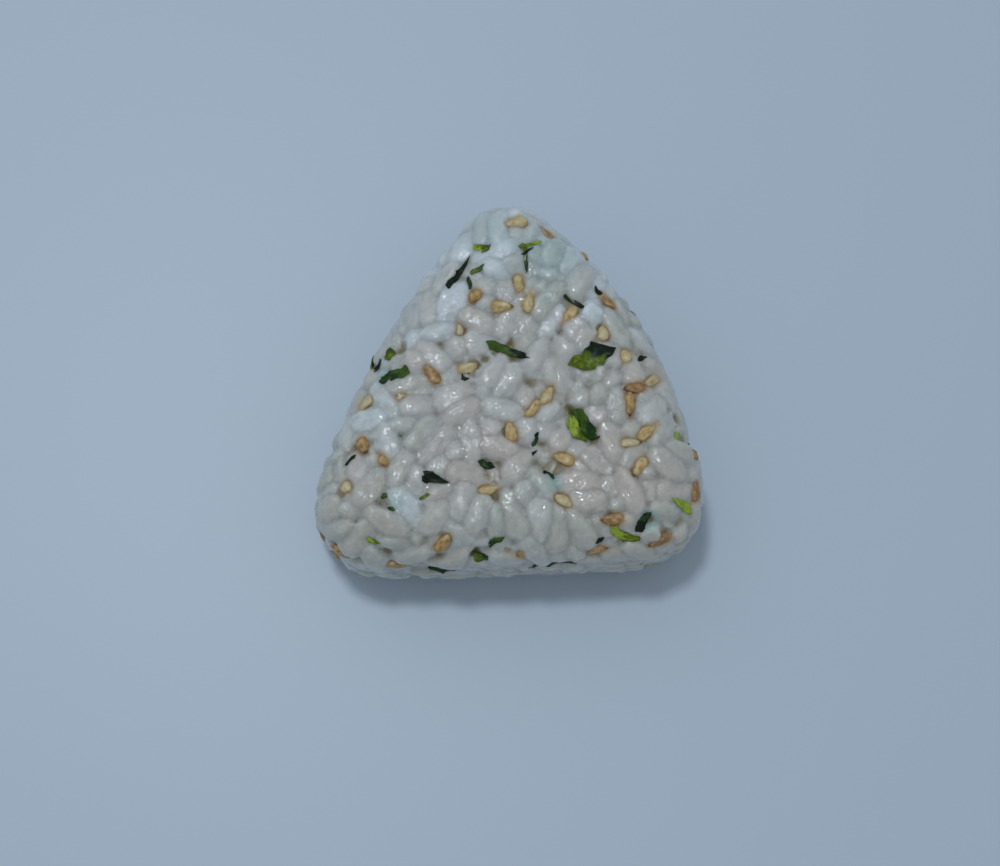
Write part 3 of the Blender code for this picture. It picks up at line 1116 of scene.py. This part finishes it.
@dataclass(frozen=True)
class Variation:
    """How a look differs from grain to grain: its mean, its spread, and how far each region moves it."""

    mean: float
    patchy: float
    patch: float
    shift: float
    single: float
    apex: float = 0.0
    base: float = 0.0
    right: float = 0.0
    inwards: float = 0.0


# Grains differ in whiteness at random; as painted light the apex is made chalkier, and as painted shade the
# base and the right side glassier
CHALK_AND_PAINTED_LIGHT = Variation(
    mean=0.38, patchy=0.35, patch=9 * MM, shift=3.0, single=0.26, apex=0.60, base=-0.28, right=-0.38
)
# The middle, the base and the right side are warm
WARMTH = Variation(
    mean=0.12, patchy=0.25, patch=7 * MM, shift=9.0, single=0.19, base=0.18, right=0.22, inwards=0.4
)


@dataclass
class Grains:
    """The cooked grains: packed rods given the plump, slightly bent shape of a short grain."""

    mould: Mould
    rods: Rods
    level: Array
    depth_share: float = 0.9
    bluntness: float = 2.7
    press: float = 0.28 * MM
    facet_tilt: float = 0.09
    taper: float = 0.2
    bend: float = 0.2
    bow: float = 0.12
    roll: float = 0.35
    stain: float = 0.65
    stain_reach: float = 0.8 * MM
    blending: int = 8
    seed: int = 5

    def shapes(self, subdivisions: int, grown: float = 0.0) -> tuple[Array, Array]:
        """Shapes the grains.

        Args:
            subdivisions: How fine their meshes are.
            grown: How much thicker they are made all round.

        Returns:
            Their vertices as grain by vertex, and one grain's triangles.
        """
        ball, faces = unit_ball(subdivisions)
        draw = np.random.default_rng(self.seed)
        count = len(self.rods.radius)
        taper = draw.uniform(-self.taper, self.taper, (count, 1))
        bend = draw.uniform(-self.bend, self.bend, (count, 1))
        bow = draw.uniform(-self.bow, self.bow, (count, 1))
        lump = draw.uniform(0.02, 0.09, (count, 1))
        notch = draw.uniform(-0.1, 0.35, (count, 1)).clip(0)
        phase = draw.uniform(0, math.tau, (count, 1))
        roll = draw.normal(0, self.roll, (count, 1))
        tilt = draw.normal(0, self.facet_tilt, (count, 3))
        x, y, z = ball.T
        blunt = np.sqrt((1 - np.abs(x) ** self.bluntness + TINY) / (1 - x**2 + TINY))
        blunt = np.minimum(blunt, math.sqrt(self.bluntness / 2))
        about = np.arctan2(z, y)
        lumps = np.sin(3.1 * x + phase) + np.cos(2 * about + phase) + np.cos(3 * about + 2.4 * x)
        lumps = lump * lumps
        germ = notch * np.exp(-((x - 0.8) ** 2) / 0.06 - (1 - np.cos(about - phase)) * 2)
        swell = blunt * (1 - taper * x + lumps) - germ
        along = x * (1 - germ * 0.3)
        across = y * swell + bend * (x**2 - 0.35)
        upright = z * swell + bow * (x**2 - 0.35)
        axis, centre, radius = self.rods.axis, self.rods.centre, self.rods.radius
        reach = np.linalg.norm(self.rods.head - self.rods.tail, axis=1) / 2
        side, lift = self.sides(roll)
        points = (
            centre[:, None]
            + axis[:, None] * (along * (reach + radius + grown)[:, None])[:, :, None]
            + side[:, None] * (across * (radius + grown)[:, None])[:, :, None]
            + lift[:, None] * (upright * (radius * self.depth_share + grown)[:, None])[:, :, None]
        )
        slope = np.einsum("gvk,gk->gv", points - centre[:, None], tilt)
        level = self.level[:, None] + slope + grown
        return self.pressed(points.reshape(-1, 3), level.ravel(), grown).reshape(points.shape), faces

    def sides(self, roll: Array | float = 0.0) -> tuple[Array, Array]:
        """The grains' directions across them, and up out of the wall, turned about their axes by a roll."""
        axis = self.rods.axis
        normal = self.mould.beyond_wall(self.rods.centre)[1]
        side = unit(np.cross(normal, axis) + TINY)
        lift = np.cross(axis, side)
        side = side * np.cos(roll) + lift * np.sin(roll)
        return side, np.cross(axis, side)

    def pressed(self, points: Array, level: Array, grown: float) -> Array:
        """Flattens what stands out of the mould's wall, softly, and stands the rice on the floor.

        Args:
            points: The grains' vertices.
            level: How far above the wall each may stand.
            grown: How far below the floor they may stand, for what is shrunk again later.

        Returns:
            The pressed vertices.
        """
        distance, normal = self.mould.beyond_wall(points)
        over = (distance - level) / self.press
        held = level - self.press * np.logaddexp(0, -over)
        points = points + normal * (held - distance)[:, None]
        soft = 0.1 * MM
        points[:, 2] = np.logaddexp(0, (points[:, 2] + grown) / soft) * soft - grown
        return points

    def nearest(self, points: Array) -> Array:
        """The number of the grain that each point belongs to."""
        shaped, triangles = self.shapes(2)
        vertices, faces = joined(shaped, triangles)
        tree = BVHTree.FromPolygons(vertices.tolist(), faces.tolist())
        return np.array([tree.find_nearest(point)[2] for point in points.tolist()]) // len(triangles)

    def by_grain(self, how: Variation, draw: np.random.Generator) -> Array:
        """Gives every grain its share of a look, from 0 to 1.

        Args:
            how: How the look differs.
            draw: Where the random numbers come from.

        Returns:
            A value for each grain.
        """
        centre = self.rods.centre
        right, up = centre[:, 0], centre[:, 1]
        inwards = -self.mould.beyond_outline(centre)[0]
        values = how.mean + how.patchy * patches(centre, how.patch, how.shift)
        values += draw.normal(0, how.single, len(centre))
        # Region terms: for whiteness they are painted light at the apex and painted shade at the base and the
        # right side
        values += how.apex * smooth_step(up, 12 * MM, 22 * MM) + how.base * smooth_step(-up, 8 * MM, 22 * MM)
        values += how.right * smooth_step(right, 6 * MM, 20 * MM) * (up < 8 * MM)
        values += how.inwards * smooth_step(inwards, 3 * MM, 16 * MM) * (1 - smooth_step(up, 8 * MM, 22 * MM))
        return np.clip(values, 0, 1)

    def looks(self, points: Array, faces: Array, seeds: BVHTree) -> dict[str, Array]:
        """Works out the numbers that the rice finish reads.

        The first value is how white a grain is, with painted light making the apex whiter and painted
        shade making the base and the right side greyer; warmth is how beige, sunk how deep the point lies,
        which sets the painted shade in pits and creases, veil and stain how far a leaf or a seed shows
        through, and the rest are the point's place on its own grain.

        Args:
            points: The vertices.
            faces: The triangles.
            seeds: The sesame seeds.

        Returns:
            The numbers by name, one for each vertex.
        """
        draw = np.random.default_rng(self.seed + 1)
        chalk_and_painted_light = self.by_grain(CHALK_AND_PAINTED_LIGHT, draw)
        warmth = self.by_grain(WARMTH, draw)
        centre = self.rods.centre
        shift = draw.uniform(0, 50, len(centre))
        number = self.nearest(points)
        offset = points - centre[number]
        side, lift = self.sides()
        depth = -self.mould.beyond_wall(points)[0]
        veil = np.zeros(len(points))
        for right, up, size, share in VEILS:
            away = np.hypot(points[:, 0] - right * MM, points[:, 1] - up * MM)
            near = share * (1 - smooth_step(away, 0.3 * size * MM, size * MM))
            veil = np.maximum(veil, near * (points[:, 2] > self.mould.top / 2))
        gaps = [seeds.find_nearest(point, self.stain_reach)[3] for point in points.tolist()]
        gaps = np.array([self.stain_reach if gap is None else gap for gap in gaps])
        return {
            "chalk_and_painted_light": blended(chalk_and_painted_light[number], faces, self.blending),
            "warmth": blended(warmth[number], faces, self.blending),
            # How deep the point lies below the wall; it sets the painted shade in pits and creases
            "sunk": smooth_step(depth, 0.9 * MM, 1.6 * MM),
            "veil": veil,
            "stain": self.stain * (1 - smooth_step(gaps, 0.0, self.stain_reach)),
            "along": dot(offset, self.rods.axis[number]) / MM + shift[number],
            "across": dot(offset, side[number]) / MM,
            "upright": dot(offset, lift[number]) / MM,
        }


@dataclass
class RiceMass:
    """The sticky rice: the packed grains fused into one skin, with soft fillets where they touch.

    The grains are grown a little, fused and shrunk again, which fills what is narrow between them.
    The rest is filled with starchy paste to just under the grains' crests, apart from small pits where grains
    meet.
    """

    mould: Mould
    grains: Grains
    grown: float = 0.22 * MM
    shrunk: float = 0.22 * MM
    voxel: float = 0.40 * MM
    heart_depth: float = 0.38 * MM
    heart_shift: float = -2.0 * MM
    heart_steps: int = 30
    fill_patch: float = 4.5 * MM
    fill_range: float = 0.60 * MM
    pit: float = 1.5 * MM
    pit_depth: float = 1.0 * MM
    # Where the pits start to fade towards the apex, and where there are none
    pits_fade: tuple[float, float] = (8 * MM, 15 * MM)
    smoothing: int = 1
    triangles: int = 192000
    dent: float = 1.5 * MM
    dent_depth: float = 0.24 * MM

    def heart(self) -> tuple[Array, Array]:
        """The starchy fill of the rice ball, reaching almost to its wall, with small pits left in it."""
        rays, faces = unit_ball(6)
        middle = np.array([0.0, self.heart_shift, (self.mould.top + self.mould.bottom) / 2])
        points = np.repeat(middle[None], len(rays), axis=0)
        depth = np.full(len(rays), self.heart_depth)
        for uneven in (False, True):
            if uneven:
                depth += self.fill_range * smooth_step(patches(points, self.fill_patch, 5.0), -0.25, 0.3)
                pitted = 1 - smooth_step(points[:, 1], *self.pits_fade)
                depth += self.pit_depth * pitted * smooth_step(patches(points, self.pit, 12.0), -0.03, 0.1)
            for _ in range(self.heart_steps):
                gap = -self.mould.beyond_wall(points)[0] - depth
                points = points + rays * gap[:, None]
        return points, faces

    def skin(self) -> tuple[Array, Array]:
        """Fuses the grains and the heart into one skin.

        Returns:
            The skin's vertices and its faces.
        """
        shaped, triangles = self.grains.shapes(3, self.grown)
        points, faces = joined(shaped, triangles)
        heart_points, heart_faces = self.heart()
        rough = make_mesh(
            "rice", np.vstack([points, heart_points]), np.vstack([faces, heart_faces + len(points)]), {}
        )
        holder = bpy.data.objects.new("rice", rough)
        bpy.context.scene.collection.objects.link(holder)
        skin = holder.modifiers.new("one skin", "REMESH")
        skin.mode = "VOXEL"
        skin.voxel_size = self.voxel
        shrink = holder.modifiers.new("shrink", "DISPLACE")
        shrink.mid_level = 0.0
        shrink.strength = -self.shrunk
        soften = holder.modifiers.new("soften", "SMOOTH")
        soften.factor = 0.5
        soften.iterations = self.smoothing
        mesh = self.evaluated(holder)
        log.info("fused rice: %d faces with the sealed hollows", len(mesh.polygons))
        holder.modifiers.clear()
        holder.data = self.outer_shell(mesh)
        holder.data.calc_loop_triangles()
        fewer = holder.modifiers.new("fewer facets", "DECIMATE")
        fewer.ratio = min(1.0, self.triangles / len(holder.data.loop_triangles))
        fewer.use_collapse_triangulate = True
        mesh = self.evaluated(holder)
        bpy.data.objects.remove(holder)
        bpy.data.meshes.remove(rough)
        mesh.calc_loop_triangles()
        places = np.empty(len(mesh.vertices) * 3)
        mesh.vertices.foreach_get("co", places)
        corners = np.empty(len(mesh.loop_triangles) * 3, dtype=np.int64)
        mesh.loop_triangles.foreach_get("vertices", corners)
        return places.reshape(-1, 3), corners.reshape(-1, 3)

    @staticmethod
    def evaluated(holder: bpy.types.Object) -> bpy.types.Mesh:
        """The object's mesh with its modifiers applied."""
        bpy.context.view_layer.update()
        graph = bpy.context.evaluated_depsgraph_get()
        return bpy.data.meshes.new_from_object(holder.evaluated_get(graph))

    @staticmethod
    def outer_shell(mesh: bpy.types.Mesh) -> bpy.types.Mesh:
        """Keeps the largest shell, without the small hollows sealed inside it.

        Args:
            mesh: The skin with its hollows.

        Returns:
            The outer shell.
        """
        count = len(mesh.vertices)
        ends = np.empty(len(mesh.edges) * 2, dtype=np.int64)
        mesh.edges.foreach_get("vertices", ends)
        first, second = ends.reshape(-1, 2).T
        shell = np.arange(count)
        while True:
            lowest = np.minimum(shell[first], shell[second])
            before = shell.copy()
            np.minimum.at(shell, first, lowest)
            np.minimum.at(shell, second, lowest)
            shell = shell[shell]
            if np.array_equal(shell, before):
                break
        kept = shell == np.bincount(shell).argmax()
        points = np.empty(count * 3)
        mesh.vertices.foreach_get("co", points)
        corners = np.empty(len(mesh.loops), dtype=np.int64)
        mesh.loops.foreach_get("vertex_index", corners)
        faces = corners.reshape(-1, 4)
        number = np.cumsum(kept) - 1
        return make_mesh("rice", points.reshape(-1, 3)[kept], number[faces[kept[faces[:, 0]]]], {})

    def mesh(self, seeds: BVHTree) -> bpy.types.Mesh:
        """Makes the fused rice round the seeds, with the numbers that its finish reads."""
        points, faces = self.skin()
        plain = make_mesh("rice", points, faces, {})
        outward = np.empty(points.size)
        plain.vertices.foreach_get("normal", outward)
        bpy.data.meshes.remove(plain)
        dents = 0.6 * patches(points, self.dent, 40.0) + 0.4 * patches(points, self.dent / 2, 70.0)
        points = points + outward.reshape(-1, 3) * (dents * self.dent_depth)[:, None]
        points[:, 2] = np.maximum(points[:, 2], 0.0)
        return make_mesh("rice", points, faces, self.grains.looks(points, faces, seeds))


@dataclass
class SesameSeeds:
    """The toasted seeds: flat drops with a dark tip, sunk between the grains."""

    mould: Mould
    sight: Array
    scattered: int = 75
    spacing: float = 5.0 * MM
    thickness: float = 1.25 * MM
    taper: float = 0.44
    room: float = 0.60 * MM
    bedded: float = 0.38 * MM
    lumps: float = 0.36
    bend: float = 0.12
    tilt: float = 0.14
    roll: float = 0.3
    seed: int = 21
    placed: list[tuple[Seed, Spot]] = field(init=False)

    def __post_init__(self) -> None:
        """Finds every seed's spot: as listed where they show from above, at random elsewhere."""
        draw = np.random.default_rng(self.seed)
        self.placed = [(item, self.mould.spot_seen(item, self.sight)) for item in TOP_SEEDS]
        tones = list(Tone)
        for spot in self.mould.even_spots(self.scattered, self.spacing, self.sight, draw):
            tone = tones[draw.integers(len(tones))]
            depth, length, width = draw.uniform(0.3, 0.8), draw.uniform(3.2, 4.2), draw.uniform(1.7, 2.2)
            self.placed.append((Seed(0, 0, 0, tone, depth, length, width), spot))

    def rods(self) -> Rods:
        """The room that the grains leave for the seeds."""
        middle = np.array([spot.place - spot.normal * (item.depth + 0.3) * MM for item, spot in self.placed])
        reach = np.array([spot.heading * (item.length / 2 - 0.9) * MM for item, spot in self.placed])
        count = len(self.placed)
        return Rods(middle - reach, middle + reach, np.full(count, self.room), np.zeros(count))

    def mesh(self) -> bpy.types.Mesh:
        """Shapes all the seeds as one mesh."""
        ball, triangles = unit_ball(3)
        x, y, z = ball.T
        narrow = 1 - self.taper * x - 0.4 * np.exp(-(1 - x) / 0.16)
        draw = np.random.default_rng(self.seed + 1)
        points, tone, tip = [], [], []
        for item, spot in self.placed:
            bend = draw.uniform(-self.bend, self.bend)
            tilt = draw.normal(0, self.tilt)
            heading = unit(spot.heading + spot.normal * tilt)
            upward = np.cross(heading, spot.side)
            roll = draw.normal(0, self.roll)
            side = spot.side * math.cos(roll) + upward * math.sin(roll)
            upward = np.cross(heading, side)
            uneven = 1 + self.lumps * patches(ball, 0.7, draw.uniform(0, 90))
            along = x * item.length / 2 * MM
            across = (y * narrow * uneven + bend * x**2) * item.width / 2 * MM
            upright = z * narrow * uneven * self.thickness / 2
            middle = spot.place - spot.normal * (item.depth * MM + self.bedded)
            level = middle + np.outer(along, heading) + np.outer(across, side)
            points.append(level + np.outer(upright, upward))
            tone.append(np.full(len(x), item.tone.value + draw.normal(0, 0.06)))
            tip.append(smooth_step(x, 0.6, 0.85) * draw.choice([0.0, 0.8, 1.0, 1.0]))
        rim = np.tile(smooth_step(np.hypot(x, y), 0.72, 1.0) * 0.35, len(points))
        places, faces = joined(np.array(points), triangles)
        values = {"tone": np.concatenate(tone), "tip": np.concatenate(tip), "rim": rim}
        return make_mesh("sesame", above_floor(places), faces, values)


@dataclass
class LeafFlakes:
    """The chopped greens: thin wet bits of leaf that lie over the grains and dip between them."""

    mould: Mould
    sight: Array
    scattered: int = 46
    spacing: float = 6.5 * MM
    thickness: float = 0.22 * MM
    step: float = 0.32 * MM
    room: float = 0.8 * MM
    deepest: float = 1.3 * MM
    seed: int = 31
    placed: list[tuple[Flake, Spot]] = field(init=False)

    def __post_init__(self) -> None:
        """Finds every bit's spot: as listed where they show from above, at random elsewhere."""
        draw = np.random.default_rng(self.seed)
        self.placed = [(item, self.mould.spot_seen(item, self.sight)) for item in TOP_FLAKES]
        greens = list(Green)
        for spot in self.mould.even_spots(self.scattered, self.spacing, self.sight, draw):
            start, end = greens[draw.integers(len(greens))], greens[draw.integers(3)]
            length = draw.uniform(1.4, 5.5)
            flake = Flake(
                0, 0, length, min(length, draw.uniform(0.8, 2.6)), 0, start, end,
                bend=draw.uniform(-60, 60), end_width=draw.uniform(0.3, 1.0), crinkle=draw.uniform(0.1, 0.35),
            )
            self.placed.append((flake, spot))

    def rods(self) -> Rods:
        """The room that the grains leave under the larger bits."""
        tails, heads = [], []
        for item, spot in self.placed:
            beside = max(0.0, item.width / 2 - 0.7) * MM
            reach = max(0.1, item.length / 2 - 0.6) * MM
            middle = spot.place - spot.normal * (item.sunk + 0.35) * MM
            for offset in {-beside, beside}:
                tails.append(middle + spot.side * offset - spot.heading * reach)
                heads.append(middle + spot.side * offset + spot.heading * reach)
        count = len(tails)
        return Rods(np.array(tails), np.array(heads), np.full(count, self.room), np.zeros(count))

    def outline(self, item: Flake, draw: np.random.Generator) -> tuple[Array, Array, Array]:
        """Lays out one bit flat: a strip, bent in its plane, with ragged edges.

        Args:
            item: The bit.
            draw: Where the random numbers come from.

        Returns:
            Its points along and across as a grid, and their shares of its length and width, -1 to 1.
        """
        rows = max(6, round(item.length * MM / self.step)) + 1
        columns = max(3, round(item.width * MM / self.step)) + 1
        s, c = np.meshgrid(np.linspace(-1, 1, rows), np.linspace(-1, 1, columns), indexing="ij")
        share = item.start_width + (item.end_width - item.start_width) * (s + 1) / 2
        phase = draw.uniform(0, math.tau, 6)
        share = share * (1 - 0.35 * np.abs(s) ** 5)
        ragged = 1 + 0.14 * np.sin(4 * s + phase[0] + 2 * c) + 0.09 * np.sin(11 * s + phase[1] - 2 * c)
        across = c * item.width / 2 * MM * share * ragged
        slant = draw.uniform(-0.35, 0.35, 2)
        cut = np.where(s > 0, slant[0], slant[1]) * c * s**2
        along = s * item.length / 2 * MM + cut * item.width * MM
        turn = math.radians(item.bend) / (item.length * MM)
        if abs(item.bend) > 1:
            heading = turn * along
            centring = (1 - math.cos(turn * item.length * MM / 2)) / turn / 2
            along, across = (
                np.sin(heading) / turn - across * np.sin(heading),
                (1 - np.cos(heading)) / turn + across * np.cos(heading) - centring,
            )
        return np.stack([along, across], axis=-1), s, c

    def drape(self, base: Array, normal: Array, rice: BVHTree) -> Array:
        """How high above the wall the rice lies under each point, less than zero under the wall."""
        reach = 3 * MM
        heights = np.full(len(base), -self.deepest)
        for i, (point, outward) in enumerate(zip(base, normal)):
            distance = rice.ray_cast(Vector(point + outward * reach), Vector(-outward), 2 * reach)[3]
            if distance is not None:
                heights[i] = max(heights[i], reach - distance)
        return heights

    def shape(
        self, item: Flake, spot: Spot, rice: BVHTree, draw: np.random.Generator
    ) -> tuple[Array, Array, Array]:
        """Shapes one bit of leaf over the rice.

        Args:
            item: The bit.
            spot: Where it lies.
            rice: The rice that it lies on.
            draw: Where the random numbers come from.

        Returns:
            Its vertices, its faces and each vertex's green.
        """
        flat, s, c = self.outline(item, draw)
        rows, columns = s.shape
        places = spot.place + flat[..., :1] * spot.heading + flat[..., 1:] * spot.side
        base, normal = self.mould.on_wall(places.reshape(-1, 3))
        bare = self.drape(base, normal, rice).reshape(rows, columns)
        height = bare.copy()
        for _ in range(4):
            padded = np.pad(height, 1, mode="edge")
            height = (padded[:-2, 1:-1] + padded[2:, 1:-1] + padded[1:-1, :-2] + padded[1:-1, 2:]) / 4
        height = np.maximum(height, bare - (0.1 + 0.2 * item.sunk) * MM)
        phase = draw.uniform(0, math.tau, 2)
        wave = np.sin(4.0 * s + phase[0] + 1.5 * c) * 0.6 + np.sin(3.0 * c + phase[1] + 2.0 * s) * 0.4
        height = height + item.crinkle * MM * (wave + 0.6) - (0.06 + 0.3 * item.sunk) * MM
        height = height - item.tuck_start * MM * smooth_step(-s, 0.2, 1)
        lower = base + normal * height.reshape(-1, 1)
        upper = lower + normal * self.thickness
        grid = np.arange(rows * columns).reshape(rows, columns)
        top = np.stack([grid[:-1, :-1], grid[1:, :-1], grid[1:, 1:], grid[:-1, 1:]], axis=-1).reshape(-1, 4)
        rim = np.concatenate([grid[:-1, 0], grid[-1, :-1], grid[:0:-1, -1], grid[0, :0:-1]])
        after = np.roll(rim, -1)
        low = rows * columns
        walls = np.stack([rim, after, after + low, rim + low], axis=-1)
        faces = np.vstack([top, top[:, ::-1] + low, walls[:, ::-1]])
        fold = s + 0.35 * c + 0.15 * np.sin(5 * c + phase[1])
        green = item.start.value + (item.end.value - item.start.value) * smooth_step(fold, 0.05, 0.25)
        return above_floor(np.vstack([upper, lower])), faces, np.tile(green.ravel(), 2)

    def mesh(self, rice: BVHTree) -> bpy.types.Mesh:
        """Shapes all the bits as one mesh, over the rice."""
        draw = np.random.default_rng(self.seed + 1)
        points, faces, greens, start = [], [], [], 0
        for item, spot in self.placed:
            own_points, own_faces, green = self.shape(item, spot, rice, draw)
            points.append(own_points)
            faces.append(own_faces + start)
            greens.append(green)
            start += len(own_points)
        return make_mesh("leaf", np.vstack(points), np.vstack(faces), {"green": np.concatenate(greens)})


@dataclass
class RiceBall:
    """The whole rice ball: rice packed round the seeds and the leaf, each piece laid on the last."""

    mould: Mould
    sight: Array

    def build(self) -> None:
        """Packs the rice and places the three pieces."""
        seeds = SesameSeeds(self.mould, self.sight)
        flakes = LeafFlakes(self.mould, self.sight)
        packing = GrainPacking(self.mould)
        rods = packing.pack(Rods.together([seeds.rods(), flakes.rods()]))
        grains = Grains(self.mould, rods, packing.level)
        sesame = place_piece("sesame_seeds", seeds.mesh(), ToastedSesame().make())
        mass = RiceMass(self.mould, grains).mesh(surface(sesame))
        rice = place_piece("rice_grains", mass, CookedRice().make())
        leaf = flakes.mesh(surface(rice))
        place_piece("leaf_flakes", leaf, BlanchedLeaf().make())


def main() -> None:
    """Builds the rice ball's looks and what it is seen with."""
    logging.basicConfig(level=logging.INFO, format="%(message)s")
    low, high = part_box(NODE)
    mould = Mould(
        width=high[0] - low[0] - WIDTH_MARGIN,
        height=high[1] - low[1] - HEIGHT_MARGIN,
        bottom=low[2] - BELOW_FLOOR,
        top=high[2] - TOP_MARGIN,
    )
    studio = Studio(target=Vector((0, 0, 13.5 * MM)))
    studio.make_floor()
    studio.light()
    studio.make_camera()
    RiceBall(mould, studio.sight).build()


if __name__ == "__main__":
    main()
